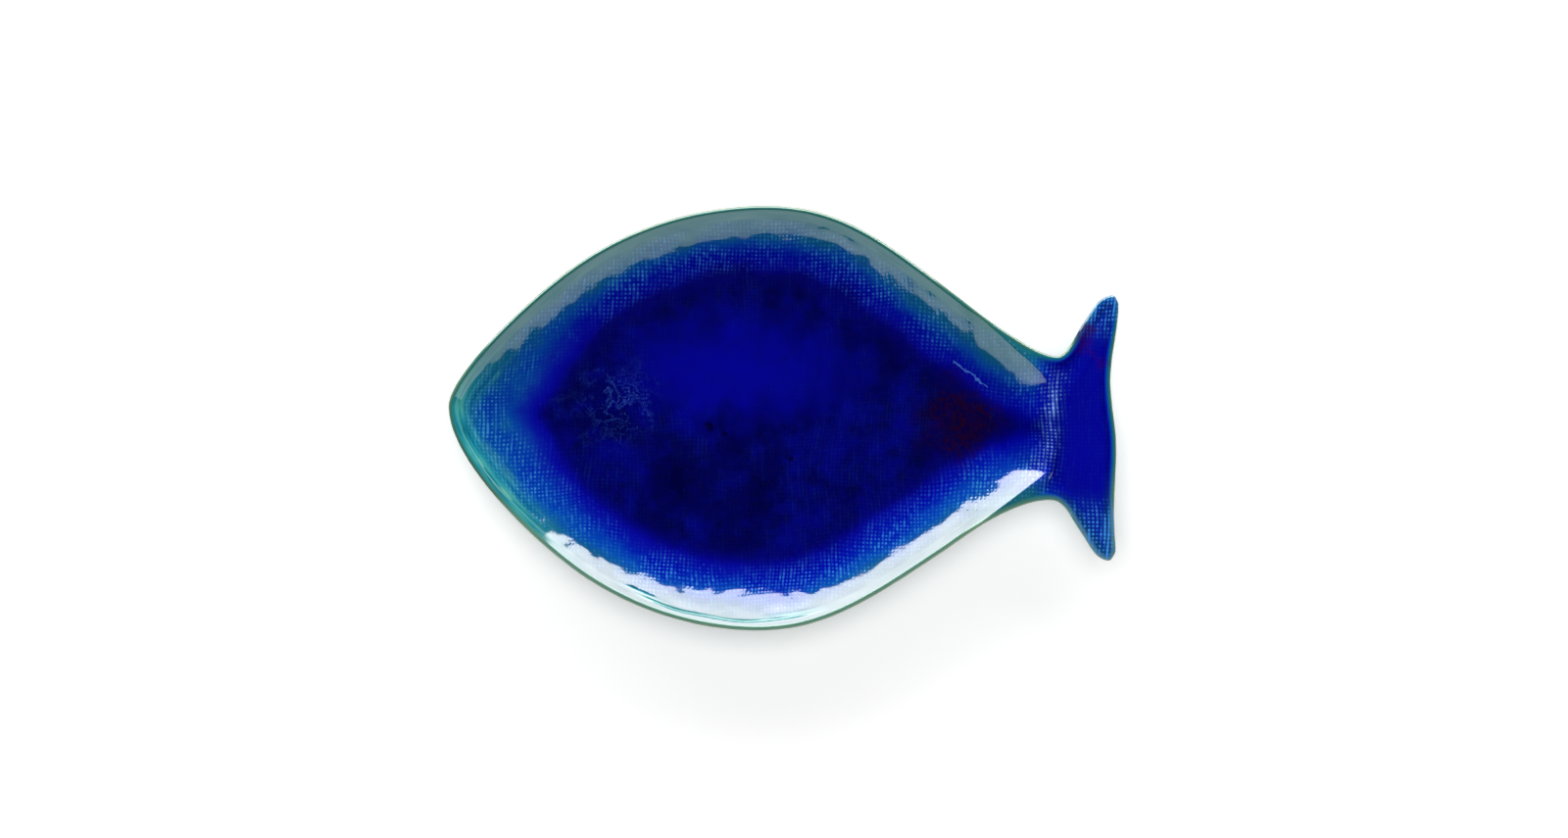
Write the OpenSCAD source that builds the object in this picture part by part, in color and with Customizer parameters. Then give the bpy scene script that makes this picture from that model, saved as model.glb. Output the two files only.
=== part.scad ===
// Fish shaped serving platter in pressed, glazed stoneware.
// It lies flat with its nose to -X, its tail to +X and its back to +Y. Units are millimetres.

/* [Outline] */
// Length from nose to tail
overall_length = 430; // [390:1:470]
// Width across back and belly
body_width = 272.5; // [250:0.5:300]
// How far the nose sits above the middle line
nose_rise = 7.7; // [0:0.1:12]
// Width of the neck between body and tail
neck_width = 92.5; // [84:0.5:102]
// Span of the tail fin from tip to tip
tail_span = 170; // [156:1:184]
// How far neck and tail sit below the middle line
tail_drop = 6.3; // [0:0.1:10]

/* [Dish] */
// Height from the table to the top of the rim
rim_height = 32; // [27:0.5:38]
// Thickness of the fired clay
clay_thickness = 6; // [5:0.1:7]
// Thickness of the rounded edge of the lip
lip_thickness = 5.5; // [4.5:0.1:6.5]
// Plan width of the lip, from its edge to the shoulder
lip_width = 3.7; // [3.4:0.1:3.8]
// Plan width of the shoulder that rolls from lip to wall
shoulder_width = 4; // [3:0.1:6]
// How far the shoulder falls before the wall starts
shoulder_drop = 2.6; // [1.5:0.1:3.5]
// Plan width of the sloping wall
wall_run = 37; // [30:0.5:42]
// Plan length of the slope behind the nose
nose_run = 65; // [55:0.5:72]
// Plan length of the slope in front of the neck
neck_run = 45; // [36:0.5:52]
// Power of the wall's curve, where 1 is a straight slope
wall_curve = 1.8; // [1.5:0.1:2.2]

/* [Tail] */
// Distance from the tail's end to the crest at the neck
crest_setback = 41; // [36:0.5:46]
// How far the middle of the crest lies under the rim
crest_drop = 1.2; // [0.4:0.1:2]
// Depth of the shallow hollow in the tail
tail_dip = 3; // [1.5:0.1:4]

/* [Foot] */
// Height of the foot ring
foot_height = 3; // [2:0.1:4.5]
// Width of the foot ring
foot_width = 5; // [3.5:0.1:7]
// Distance from the end of the wall to the foot ring
foot_inset = 2; // [1:0.1:4]

/* [Glaze] */
// Thickness of the turquoise and underside coats
glaze_thickness = 0.6; // [0.4:0.05:0.9]
// Thickness of a coat where it ends or breaks over an edge
glaze_edge = 0.25; // [0.15:0.05:0.35]
// Depth of the cobalt pool in the well
pool_depth = 1; // [0.5:0.05:1.6]
// Depth of the cobalt pool in the tail
tail_pool_depth = 0.8; // [0.4:0.05:1.2]
// Bare clay left between a coat and the foot ring
wipe_gap = 1.5; // [0.8:0.1:3]

/* [Hidden] */

clay_colour = "burlywood";
turquoise = "lightseagreen";
cobalt = "mediumblue";
underside_colour = "cadetblue";

half_length = overall_length / 2;
half_width = body_width / 2;
half_span = tail_span / 2;
half_neck = neck_width / 2;
lip_radius = lip_thickness / 2;
lip_roll = lip_radius * (1 - cos(45));
floor_height = foot_height + clay_thickness;
crest_x = half_length - crest_setback;
basin_offset = lip_width + shoulder_width;
well_offset = basin_offset + wall_run;

// Knots of the fish outline, anticlockwise from the nose. Each row holds x and y as shares, the heading in
// degrees, the reach of the handles before and after the knot as shares of the distance to the next knot,
// and the steps to the next knot. Shares are of the half length and of the half width or half span.
nose_share = [-1, 0, 270, 0.16, 0.24, 11];
belly_shares = [
    [-0.642, -0.693, -37.6, 0.34, 0.32, 8],
    [-0.072, -1, 0, 0.36, 0.34, 7],
    [0.48, -0.623, 33.6, 0.39, 0.28, 4],
    [0.662, -0.443, 23.7, 0.35, 0.35, 5],
];
neck_belly_share = [0.796, -1, 1, 0.4, 0.36, 6];
tail_shares = [
    [0.885, -0.775, -53, 0.35, 0.33, 3],
    [0.965, -1, -4, 0.3, 0.38, 3],
    [0.991, -0.888, 97, 0.38, 0.3, 3],
    [0.993, -0.225, 88, 0.3, 0.4, 4],
    [0.976, 0.373, 90, 0.37, 0.33, 3],
    [1, 0.895, 88, 0.33, 0.39, 3],
    [0.976, 1, 186, 0.44, 0.32, 3],
    [0.895, 0.788, 233, 0.4, 0.36, 6],
];
neck_back_share = [0.807, 1, 170, 0.34, 0.32, 5];
back_shares = [
    [0.656, 0.414, 148, 0.38, 0.31, 4],
    [0.468, 0.635, 143.5, 0.33, 0.38, 7],
    [-0.048, 1, 180, 0.38, 0.36, 8],
    [-0.64, 0.698, 216.3, 0.33, 0.32, 11],
];
outline_knots = concat(
    [knot_at(nose_share, half_width, nose_rise)],
    [for (row = belly_shares) knot_at(row, half_width, 0)],
    [knot_at(neck_belly_share, half_neck, -tail_drop)],
    [for (row = tail_shares) knot_at(row, half_span, -tail_drop)],
    [knot_at(neck_back_share, half_neck, -tail_drop)],
    [for (row = back_shares) knot_at(row, half_width, 0)]
);
knot_count = len(outline_knots);

// Numbers of the knots at the neck, where the basin's edge turns off across it, and at the tail's tips
neck_belly = len(belly_shares) + 1;
belly_turn = neck_belly - 1;
belly_flank = belly_turn - 1;
lower_tip = neck_belly + 2;
neck_back = neck_belly + len(tail_shares) + 1;
upper_tip = neck_back - 2;
back_turn = neck_back + 1;
back_flank = back_turn + 1;

// Reach of the handles of the curves across the neck, and of the pointed end of the well
gentle_share = 0.36;
pointed_share = 0.22;
// Rings between shoulder and basin, and down the wall, as shares of their plan width
shoulder_shares = [0.5];
wall_shares = [0, 0.17, 0.34, 0.51, 0.67, 0.83, 1];
// Upright thickness under the shoulder of the steep wall, as a share of the clay's
steep_share = 1.55;
// Where the nose end of the well lies, as a share of the nose's rise
well_nose_share = 0.4;
// Where the well's pointed end starts, by place along the basin's edge
well_end_shares = [
    [belly_flank, 0],
    [belly_turn, 0.36],
    [(belly_turn + back_turn) / 2, 1],
    [back_turn, 1.64],
    [back_flank, 2],
];
// How much of the neck's curve has the crest's rounded section
crest_shares = [[0, 0], [0.3, 1], [0.7, 1], [1, 0]];
// Power that draws the stations together towards the nose
nose_crowding = 1.4;
// How much the tail's rows even out the distances between their points
even_share = 0.5;
// How much of its distance from the well's edge an inset point keeps from the rest of that edge
clear_share = 0.97;

function knot_at(row, half, rise) =
    [half_length * row[0], half * row[1] + rise, row[2], row[3], row[4], row[5]];

function lerp(a, b, t) = a + (b - a) * t;
function smooth(t) = t * t * (3 - 2 * t);
function along(heading) = [cos(heading), sin(heading)];
function left_of(heading) = [-sin(heading), cos(heading)];
function flat(p) = [p[0], p[1]];
function raised(p, z) = [p[0], p[1], z];

// A cubic Bezier between two knots
function handles(a, b) =
    let (gap = norm(flat(b) - flat(a)))
    [flat(a), flat(a) + along(a[2]) * a[4] * gap, flat(b) - along(b[2]) * b[3] * gap, flat(b)];
function bezier(h, t) =
    pow(1 - t, 3) * h[0] + 3 * pow(1 - t, 2) * t * h[1] + 3 * (1 - t) * t * t * h[2] + pow(t, 3) * h[3];
function bezier_heading(h, t) =
    let (d = pow(1 - t, 2) * (h[1] - h[0]) + 2 * (1 - t) * t * (h[2] - h[1]) + t * t * (h[3] - h[2]))
    atan2(d[1], d[0]);

// Stations round the outline: each is a knot's number plus a share of the way to the next knot
function crowded(k, t) =
    k == 0 ? pow(t, nose_crowding) : k == knot_count - 1 ? 1 - pow(1 - t, nose_crowding) : t;
function stations_between(first, last) = [
    for (k = [first : last - 1])
    for (step = [0 : outline_knots[k][5] - 1])
    k + crowded(k, step / outline_knots[k][5])
];
stations = stations_between(0, knot_count);
station_count = len(stations);
leave = len(stations_between(0, belly_turn));
low_corner = len(stations_between(0, lower_tip));
high_corner = len(stations_between(0, upper_tip));
rejoin = len(stations_between(0, back_turn));
side_steps = low_corner - leave;
end_steps = high_corner - low_corner;
// Steps of the basin's edge across the neck, so that the crest has as many points as the tail's end
neck_steps = end_steps - 2 * (len(shoulder_shares) + 1);

function outline_handles(u) = handles(outline_knots[floor(u)], outline_knots[(floor(u) + 1) % knot_count]);
outline = [for (u = stations) bezier(outline_handles(u), u - floor(u))];
inward = [for (u = stations) left_of(bezier_heading(outline_handles(u), u - floor(u)))];

// A knot moved towards the inside of the fish
function inset_knot(k, distance) =
    let (knot = outline_knots[k], moved = flat(knot) + left_of(knot[2]) * distance)
    [moved[0], moved[1], knot[2], gentle_share, gentle_share];
function two_curves(first, middle, last, v) =
    v <= 1 ? bezier(handles(first, middle), v) : bezier(handles(middle, last), v - 1);

// Places round the basin: the body's stations from back to belly, then steps across the neck
body_stations = concat([for (i = [rejoin : station_count - 1]) i], [for (i = [0 : leave]) i]);
body_count = len(body_stations);
basin_count = body_count + neck_steps - 1;
neck_places = [for (step = [1 : neck_steps - 1]) step / neck_steps];

crest_knot = [crest_x, -tail_drop, 90, gentle_share, gentle_share];
basin = concat(
    [for (i = body_stations) outline[i] + inward[i] * basin_offset],
    [
        for (t = neck_places)
        two_curves(inset_knot(belly_turn, basin_offset), crest_knot, inset_knot(back_turn, basin_offset), 2 * t)
    ]
);
crestness = concat(
    [for (i = body_stations) 0],
    [for (t = neck_places) smooth(lookup(t, crest_shares))]
);

// The well's edge, where the wall runs out into the flat floor
well_nose = [nose_run - half_length, nose_rise * well_nose_share, 270, gentle_share, gentle_share];
well_end = [crest_x - neck_run, -tail_drop, 90, pointed_share, pointed_share];
function well_knot(k) = k % knot_count == 0 ? well_nose : inset_knot(k, well_offset);
function well_point(u) =
    u > belly_flank && u < back_flank
        ? two_curves(well_knot(belly_flank), well_end, well_knot(back_flank), lookup(u, well_end_shares))
        : bezier(handles(well_knot(floor(u)), well_knot(floor(u) + 1)), u - floor(u));
well = concat(
    [for (i = body_stations) well_point(stations[i])],
    [for (t = neck_places) well_point(lerp(belly_turn, back_turn, t))]
);
well_centre = (flat(well_nose) + flat(well_end)) / 2;

// Upper height of the clay and its upright thickness, across the shoulder and down the wall
lip_share = (lip_width - lip_radius) / (basin_offset - lip_radius);
function shoulder_height(s) = rim_height - shoulder_drop * pow(lerp(lip_share, 1, s), 2);
function shoulder_thickness(s) = lerp(lip_thickness, clay_thickness * steep_share, lerp(lip_share, 1, s));
function wall_top(crest) = rim_height - lerp(shoulder_drop, crest_drop, crest);
function wall_fall(s, crest) = lerp(pow(1 - s, wall_curve), 1 - smooth(s), crest);
function wall_height(s, crest) = lerp(floor_height, wall_top(crest), wall_fall(s, crest));
function wall_thickness(s, crest) =
    clay_thickness * lerp(1, lerp(steep_share, 1, crest), wall_fall(s, crest));

// Points of the clay's sheet, each as x, y, upper height and upright thickness
function sheet_point(p, height, thickness) = [p[0], p[1], height, thickness];
lip_points = [
    for (i = [0 : station_count - 1])
    sheet_point(outline[i] + inward[i] * lip_radius, rim_height, lip_thickness)
];
edge_points = [
    for (i = [0 : station_count - 1])
    sheet_point(outline[i] + inward[i] * lip_width, shoulder_height(0), shoulder_thickness(0))
];
shoulder_points = [
    for (s = shoulder_shares) for (j = [0 : body_count - 1])
    sheet_point(lerp(flat(edge_points[body_stations[j]]), basin[j], s), shoulder_height(s), shoulder_thickness(s))
];
wall_points = [
    for (s = wall_shares) for (j = [0 : basin_count - 1])
    sheet_point(lerp(basin[j], well[j], s), wall_height(s, crestness[j]), wall_thickness(s, crestness[j]))
];

// The tail is a grid of rows from the crest at the neck to the tail's end
crest_row = concat(
    [edge_points[leave]],
    [for (k = [0 : len(shoulder_shares) - 1]) shoulder_points[(k + 1) * body_count - 1]],
    [for (j = [body_count - 1 : basin_count - 1]) wall_points[j]],
    [wall_points[0]],
    [for (k = [len(shoulder_shares) - 1 : -1 : 0]) shoulder_points[k * body_count]],
    [edge_points[rejoin]]
);
tail_end_row = [for (i = [low_corner : high_corner]) edge_points[i]];
belly_side = [for (i = [leave : low_corner]) edge_points[i]];
back_side = [for (i = [rejoin : -1 : high_corner]) edge_points[i]];
// How far each point of a row or side has got from its first point to its last, along one axis
function progress(row, axis) =
    let (last = row[len(row) - 1])
    [for (p = row) (p[axis] - row[0][axis]) / (last[axis] - row[0][axis])];
crest_progress = progress(crest_row, 1);
end_progress = progress(tail_end_row, 1);
belly_progress = progress(belly_side, 0);
back_progress = progress(back_side, 0);
// How far each point of a row bows out from the straight line between the row's ends
function bow(row, places) =
    [for (c = [0 : len(row) - 1]) row[c] - lerp(row[0], row[len(row) - 1], places[c])];
crest_bow = bow(crest_row, crest_progress);
end_bow = bow(tail_end_row, end_progress);
function tail_point(r, c) =
    let (
        place = lerp(crest_progress[c], end_progress[c], r / side_steps),
        t = lerp(place, c / end_steps, even_share * smooth(r / side_steps) * sin(180 * r / side_steps)),
        s = lerp(belly_progress[r], back_progress[r], t)
    )
    lerp(belly_side[r], back_side[r], t) + lerp(crest_bow[c], end_bow[c], s)
    - [0, 0, tail_dip * sin(180 * s) * sin(180 * t), 0];
tail_points = [for (r = [1 : side_steps - 1]) for (c = [1 : end_steps - 1]) tail_point(r, c)];

sheet = concat(
    lip_points, edge_points, shoulder_points, wall_points,
    [sheet_point(well_centre, floor_height, clay_thickness)], tail_points
);

// Numbers of the sheet's points, ring by ring
edge_start = station_count;
shoulder_start = edge_start + station_count;
wall_start = shoulder_start + len(shoulder_points);
centre_number = wall_start + len(wall_points);
tail_start = centre_number + 1;
well_ring = len(wall_shares) - 1;
shore_ring = well_ring - 1;
function closed(ring) = concat(ring, [ring[0]]);
lip_ring = [for (i = [0 : station_count - 1]) i];
edge_ring = [for (i = lip_ring) edge_start + i];
function shoulder_line(k) = [for (j = [0 : body_count - 1]) shoulder_start + k * body_count + j];
function wall_ring(k) = [for (j = [0 : basin_count - 1]) wall_start + k * basin_count + j];
function body_part(ring) = [for (j = [0 : body_count - 1]) ring[j]];
crest_line = concat(
    [edge_ring[leave]],
    [for (k = [0 : len(shoulder_shares) - 1]) shoulder_line(k)[body_count - 1]],
    [for (j = [body_count - 1 : basin_count - 1]) wall_start + j],
    [wall_start],
    [for (k = [len(shoulder_shares) - 1 : -1 : 0]) shoulder_line(k)[0]],
    [edge_ring[rejoin]]
);
function tail_line(r) =
    r == 0 ? crest_line
    : r == side_steps ? [for (i = [low_corner : high_corner]) edge_ring[i]]
    : concat(
        [edge_ring[leave + r]],
        [for (c = [0 : end_steps - 2]) tail_start + (r - 1) * (end_steps - 1) + c],
        [edge_ring[rejoin - r]]
    );

// Triangles between two lines of numbered points, the first nearer to the middle
function strip(inner, outer) = [
    for (i = [0 : len(inner) - 2])
    each [[inner[i], inner[i + 1], outer[i + 1]], [inner[i], outer[i + 1], outer[i]]]
];
function strips(lines) = [for (k = [0 : len(lines) - 2]) each strip(lines[k], lines[k + 1])];
function fan(centre, ring) = [for (i = [0 : len(ring) - 1]) [centre, ring[(i + 1) % len(ring)], ring[i]]];
function shifted(lists, step) = [for (list = lists) [for (n = list) n + step]];
function flipped(faces) = [for (face = faces) [face[2], face[1], face[0]]];

dish_lines = concat(
    [for (k = [well_ring : -1 : 1]) closed(wall_ring(k))],
    [closed(wall_ring(0))]
);
shoulder_lines = concat(
    [body_part(wall_ring(0))],
    [for (k = [len(shoulder_shares) - 1 : -1 : 0]) shoulder_line(k)],
    [[for (i = body_stations) edge_ring[i]]]
);
rim_faces = concat(
    strips(dish_lines),
    strips(shoulder_lines),
    strips([for (r = [0 : side_steps]) tail_line(r)]),
    strip(closed(edge_ring), closed(lip_ring))
);
well_faces = fan(centre_number, wall_ring(well_ring));

// A solid between two sheets. Extra rings lead round its outer edge, and a hole may be left in the middle.
module solid_between(top, bottom, faces, edge, edge_rings = [], hole = []) {
    n = len(top);
    ring_numbers = [
        for (k = [0 : 1 : len(edge_rings) - 1])
        [for (i = [0 : len(edge) - 1]) 2 * n + k * len(edge) + i]
    ];
    round_edge = concat([edge], ring_numbers, shifted([edge], n));
    polyhedron(
        points = concat(top, bottom, [for (ring = edge_rings) each ring]),
        faces = concat(
            faces,
            shifted(flipped(faces), n),
            strips([for (ring = round_edge) closed(ring)]),
            len(hole) > 0 ? strip(closed(shifted([hole], n)[0]), closed(hole)) : []
        ),
        convexity = 8
    );
}

function upper_side(lift) = [for (p = sheet) raised(p, p[2] + lift)];
function lower_side(lift) = [for (p = sheet) raised(p, p[2] - p[3] + lift)];
// A sheet whose outermost ring is moved to its own height, for a coat that thins out
function thinned(side, z) = [
    for (i = [0 : len(side) - 1])
    i < station_count ? raised(side[i], z) : side[i]
];
function lip_line(inset, z) = [
    for (i = [0 : station_count - 1])
    raised(outline[i] + inward[i] * inset, z)
];
edge_reach = glaze_edge * cos(45);

// The fired clay: floor, wall, rounded lip and tail in one pressing
module clay_body() {
    color(clay_colour)
    solid_between(
        upper_side(0), lower_side(0), concat(rim_faces, well_faces), lip_ring,
        [
            lip_line(lip_roll, rim_height - lip_roll),
            lip_line(0, rim_height - lip_radius),
            lip_line(lip_roll, rim_height - lip_thickness + lip_roll),
        ]
    );
}

// The well's outline moved inwards, for what sits under the floor. A point that comes too near to another
// stretch of the outline, as in a narrow end, is left out, so that the line never crosses itself.
function well_inset(distance) = [
    for (j = [0 : basin_count - 1])
    let (
        across = well[(j + 1) % basin_count] - well[(j + basin_count - 1) % basin_count],
        moved = well[j] + left_of(atan2(across[1], across[0])) * distance,
        nearest = min([for (p = well) norm(moved - p)])
    )
    if (nearest > distance * clear_share) moved
];

// The unglazed ring that the platter stands on
module foot_ring() {
    color(clay_colour)
    linear_extrude(height = foot_height)
    difference() {
        polygon(well_inset(foot_inset));
        polygon(well_inset(foot_inset + foot_width));
    }
}

// The turquoise coat over the whole upper side, thin over the lip
module turquoise_glaze() {
    color(turquoise)
    solid_between(
        thinned(upper_side(glaze_thickness), rim_height + glaze_edge), upper_side(0),
        concat(rim_faces, well_faces), lip_ring,
        [
            lip_line(lip_roll - edge_reach, rim_height - lip_roll + edge_reach),
            lip_line(lip_roll, rim_height - lip_roll),
        ]
    );
}

// The cobalt glaze that has run down the wall and lies level in the well
module cobalt_pool() {
    level = floor_height + glaze_thickness + pool_depth;
    base = upper_side(glaze_thickness);
    shore = [for (n = wall_ring(shore_ring)) base[n]];
    inner = [for (j = [0 : basin_count - 1]) j];
    outer = [for (j = inner) j + basin_count];
    color(cobalt)
    solid_between(
        concat(
            [for (p = well) raised(p, level)],
            [for (p = shore) raised(p, p[2] + glaze_edge)],
            [raised(well_centre, level)]
        ),
        concat([for (n = wall_ring(well_ring)) base[n]], shore, [base[centre_number]]),
        concat(strip(closed(inner), closed(outer)), fan(2 * basin_count, inner)),
        outer
    );
}

// The cobalt glaze that lies in the tail's hollow, deepest in the middle and feathered all round
module tail_pool() {
    rows = side_steps - 1;
    columns = end_steps - 1;
    base = upper_side(glaze_thickness);
    numbers = [for (r = [0 : rows - 1]) [for (c = [0 : columns - 1]) r * columns + c]];
    bottom = [for (n = [0 : rows * columns - 1]) base[tail_start + n]];
    top = [
        for (r = [0 : rows - 1]) for (c = [0 : columns - 1])
        let (
            p = bottom[r * columns + c],
            swell = sin(180 * r / (rows - 1)) * sin(180 * c / (columns - 1))
        )
        raised(p, p[2] + lerp(glaze_edge, tail_pool_depth, swell))
    ];
    edge = concat(
        [for (r = [0 : rows - 1]) numbers[r][0]],
        [for (c = [1 : columns - 1]) numbers[rows - 1][c]],
        [for (r = [rows - 2 : -1 : 0]) numbers[r][columns - 1]],
        [for (c = [columns - 2 : -1 : 1]) numbers[0][c]]
    );
    color(cobalt)
    solid_between(top, bottom, strips(numbers), edge);
}

// The coat on the outside, from under the lip to the end of the wall
module outer_glaze() {
    color(underside_colour)
    solid_between(
        lower_side(0), thinned(lower_side(-glaze_thickness), rim_height - lip_thickness - glaze_edge),
        rim_faces, lip_ring,
        [
            lip_line(lip_roll, rim_height - lip_thickness + lip_roll),
            lip_line(lip_roll - edge_reach, rim_height - lip_thickness + lip_roll - edge_reach),
        ],
        wall_ring(well_ring)
    );
}

// The coat inside the foot ring, under the floor
module base_glaze() {
    color(underside_colour)
    translate([0, 0, foot_height - glaze_thickness])
    linear_extrude(height = glaze_thickness)
    polygon(well_inset(foot_inset + foot_width + wipe_gap));
}

clay_body();
foot_ring();
turquoise_glaze();
cobalt_pool();
tail_pool();
outer_glaze();
base_glaze();
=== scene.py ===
import math

import bmesh
import bpy
from mathutils import Matrix, Vector, kdtree, noise


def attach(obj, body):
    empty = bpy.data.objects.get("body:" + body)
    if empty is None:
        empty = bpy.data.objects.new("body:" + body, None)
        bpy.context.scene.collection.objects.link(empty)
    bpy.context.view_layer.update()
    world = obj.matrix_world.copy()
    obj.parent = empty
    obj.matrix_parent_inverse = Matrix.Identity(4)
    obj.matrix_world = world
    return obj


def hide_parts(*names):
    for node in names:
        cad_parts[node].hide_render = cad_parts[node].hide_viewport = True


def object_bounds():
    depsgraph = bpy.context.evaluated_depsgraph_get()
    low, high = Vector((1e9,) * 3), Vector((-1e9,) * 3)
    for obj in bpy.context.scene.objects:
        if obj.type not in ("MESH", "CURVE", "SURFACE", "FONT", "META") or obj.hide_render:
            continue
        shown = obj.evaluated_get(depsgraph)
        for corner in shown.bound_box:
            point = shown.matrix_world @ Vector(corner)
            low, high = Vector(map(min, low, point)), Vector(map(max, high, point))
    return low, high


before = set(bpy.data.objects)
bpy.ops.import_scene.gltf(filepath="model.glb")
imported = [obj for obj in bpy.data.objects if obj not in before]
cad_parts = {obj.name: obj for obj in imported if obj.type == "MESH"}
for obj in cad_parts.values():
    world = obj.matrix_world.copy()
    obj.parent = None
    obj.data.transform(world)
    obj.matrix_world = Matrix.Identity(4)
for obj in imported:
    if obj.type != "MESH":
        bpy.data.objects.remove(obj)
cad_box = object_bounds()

# Sizes are in metres, in the frame of the solids. MM writes them as a potter would measure them.
MM = 0.001

# The lip, by its distance inwards from the outermost line, which is called the inset
RIM_HEIGHT = 32 * MM
LIP_EDGE_HEIGHT = 29.25 * MM
LIP_CREST_INSET = 2 * MM
LIP_RISE = 2.15 * MM
LIP_TOP = LIP_EDGE_HEIGHT + LIP_RISE
SHOULDER_INSET = 7.7 * MM

# Wall and well
WALL_TOP = 29.4 * MM
WALL_RUN = 37 * MM
WALL_CURVE = 1.8
FLOOR_HEIGHT = 9 * MM
POOL_LEVEL = 10.6 * MM
WELL_CENTRE = Vector((-10.5 * MM, -1.6 * MM, 0))
BASE_TOP = 3.05 * MM

# Neck and tail
NECK_HALF = 35.7 * MM
NECK_Y = -6.3 * MM
CREST_X = 174 * MM

# Glaze, and the clay under it
UPPER_COAT = 0.6 * MM
COAT_OVER_LIP = 0.28 * MM
OUTER_COAT = 0.55 * MM
SUNK_INTO_CLAY = 0.35 * MM
FURROW_DEPTH = 0.3 * MM
THREAD = 2.5 * MM

# What the mesh of the upper glaze notes at each point: inset and coat in millimetres, the others from 0 to 1
NOTES = ("inset", "tail", "coat", "crest", "furrow")

# Points of the solids that are nearer than this are one point
MERGE = 0.02 * MM


# Forming: smooth surfaces through the points of the pressed shell

def smooth_step(low, high, value):
    t = min(1.0, max(0.0, (value - low) / (high - low)))
    return t * t * (3 - 2 * t)


def mix(a, b, t):
    return a + (b - a) * t


def least(a, b, soft):
    """The lower of two heights, with the crease between them rounded."""
    return -soft * math.log(math.exp(-a / soft) + math.exp(-b / soft))


def wander(p, size, seed):
    """Soft unevenness from -1 to 1, about size across."""
    return noise.noise(Vector((p.x, p.y, p.z)) / size + Vector((seed * 7.3, seed * 3.1, seed * 1.7)))


def flat(p):
    """A point's place as seen from above."""
    return Vector((p.x, p.y, 0))


def shell_of_quads(node):
    """A node's shell with its triangles, which lie two to a quad, joined again. The well's middle, a fan of
    many triangles, gets rings in its place."""
    many, ring_steps = 20, (0.82, 0.7, 0.5)
    shell = bmesh.new()
    shell.from_mesh(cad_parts[node].data)
    pair = shell.faces.layers.int.new("pair")
    for face in shell.faces:
        face[pair] = face.index // 2
    bmesh.ops.remove_doubles(shell, verts=shell.verts, dist=MERGE)
    middles = [v for v in shell.verts if len(v.link_edges) > many]
    diagonals = [
        e for e in shell.edges
        if len({f[pair] for f in e.link_faces}) == 1 and not any(v in middles for v in e.verts)
    ]
    bmesh.ops.dissolve_edges(shell, edges=diagonals)
    for middle in middles:
        bmesh.ops.dissolve_verts(shell, verts=[middle])
    floors = [f for f in shell.faces if len(f.verts) > many]
    for floor in floors:
        middle = Vector((WELL_CENTRE.x, WELL_CENTRE.y, floor.verts[0].co.z))
        for step in ring_steps:
            bmesh.ops.inset_region(shell, faces=[floor], thickness=0)
            bmesh.ops.scale(shell, vec=(step, step, 1), verts=floor.verts, space=Matrix.Translation(-middle))
        bmesh.ops.poke(shell, faces=[floor])
    shell.normal_update()
    upper = shell.faces.layers.int.new("upper")
    for face in shell.faces:
        face[upper] = face.normal.z > 0
    return shell


def smoothed(shell, name, levels):
    """The shell subdivided to a smooth surface that still passes through its rim's and wall's points."""
    well_reach, well_top = 165 * MM, 11 * MM
    mesh = bpy.data.meshes.new(name)
    shell.to_mesh(mesh)
    shell.free()
    if "custom_normal" in mesh.attributes:
        mesh.attributes.remove(mesh.attributes["custom_normal"])
    form = bpy.data.objects.new(name, mesh)
    bpy.context.scene.collection.objects.link(form)
    rounding = form.modifiers.new("Rounding", "SUBSURF")
    rounding.levels = rounding.render_levels = levels
    aims = [v.co.copy() for v in mesh.vertices]
    for _ in range(3):
        bpy.context.view_layer.update()
        got = form.evaluated_get(bpy.context.evaluated_depsgraph_get()).data
        for vertex, aim, now in zip(mesh.vertices, aims, got.vertices):
            if abs(vertex.co.x - WELL_CENTRE.x) > well_reach or vertex.co.z > well_top:
                vertex.co += aim - now.co
        mesh.update()
        form.update_tag()
    bpy.context.view_layer.update()
    made = bpy.data.meshes.new_from_object(form.evaluated_get(bpy.context.evaluated_depsgraph_get()))
    bpy.data.objects.remove(form)
    fine = bmesh.new()
    fine.from_mesh(made)
    fine.normal_update()
    return fine


def searchable(points):
    """The points as a search tree, which finds the nearest ones."""
    tree = kdtree.KDTree(len(points))
    for i, p in enumerate(points):
        tree.insert(p, i)
    tree.balance()
    return tree


def rim_line(shell):
    """Closely set points along the outermost line of the lip, searchable."""
    spacing, height_within, upright = 0.3 * MM, 0.12 * MM, 0.3
    level = (v for v in shell.verts if abs(v.co.z - LIP_EDGE_HEIGHT) < height_within)
    line = {v for v in level if abs(v.normal.z) < upright}
    points = []
    for e in shell.edges:
        if e.verts[0] in line and e.verts[1] in line:
            a, b = (flat(v.co) for v in e.verts)
            count = max(1, math.ceil((b - a).length / spacing))
            points += [a.lerp(b, i / count) for i in range(count)]
    return searchable(points)


def inset_of(p, rim):
    """Distance inwards from the outermost line of the lip."""
    return rim.find(flat(p))[2]


# The pressed shape: heights by the distance from the lip's outermost line

def falling(inset):
    """Height of the sloping wall, run on straight above the shoulder."""
    left = 1 - max(0.0, inset - SHOULDER_INSET) / WALL_RUN
    steepest = WALL_CURVE * (WALL_TOP - FLOOR_HEIGHT) / WALL_RUN
    above = steepest * max(0.0, SHOULDER_INSET - inset)
    return mix(FLOOR_HEIGHT, WALL_TOP, max(0.0, left) ** WALL_CURVE) + above


def pressed(inset):
    """Height of lip and wall as the clay leaves the mould."""
    flat_top, drop = 2.75 * MM, 2.6 * MM
    if inset > SHOULDER_INSET:
        return falling(inset)
    return RIM_HEIGHT - drop * (max(0.0, inset - flat_top) / (SHOULDER_INSET - flat_top)) ** 2


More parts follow.
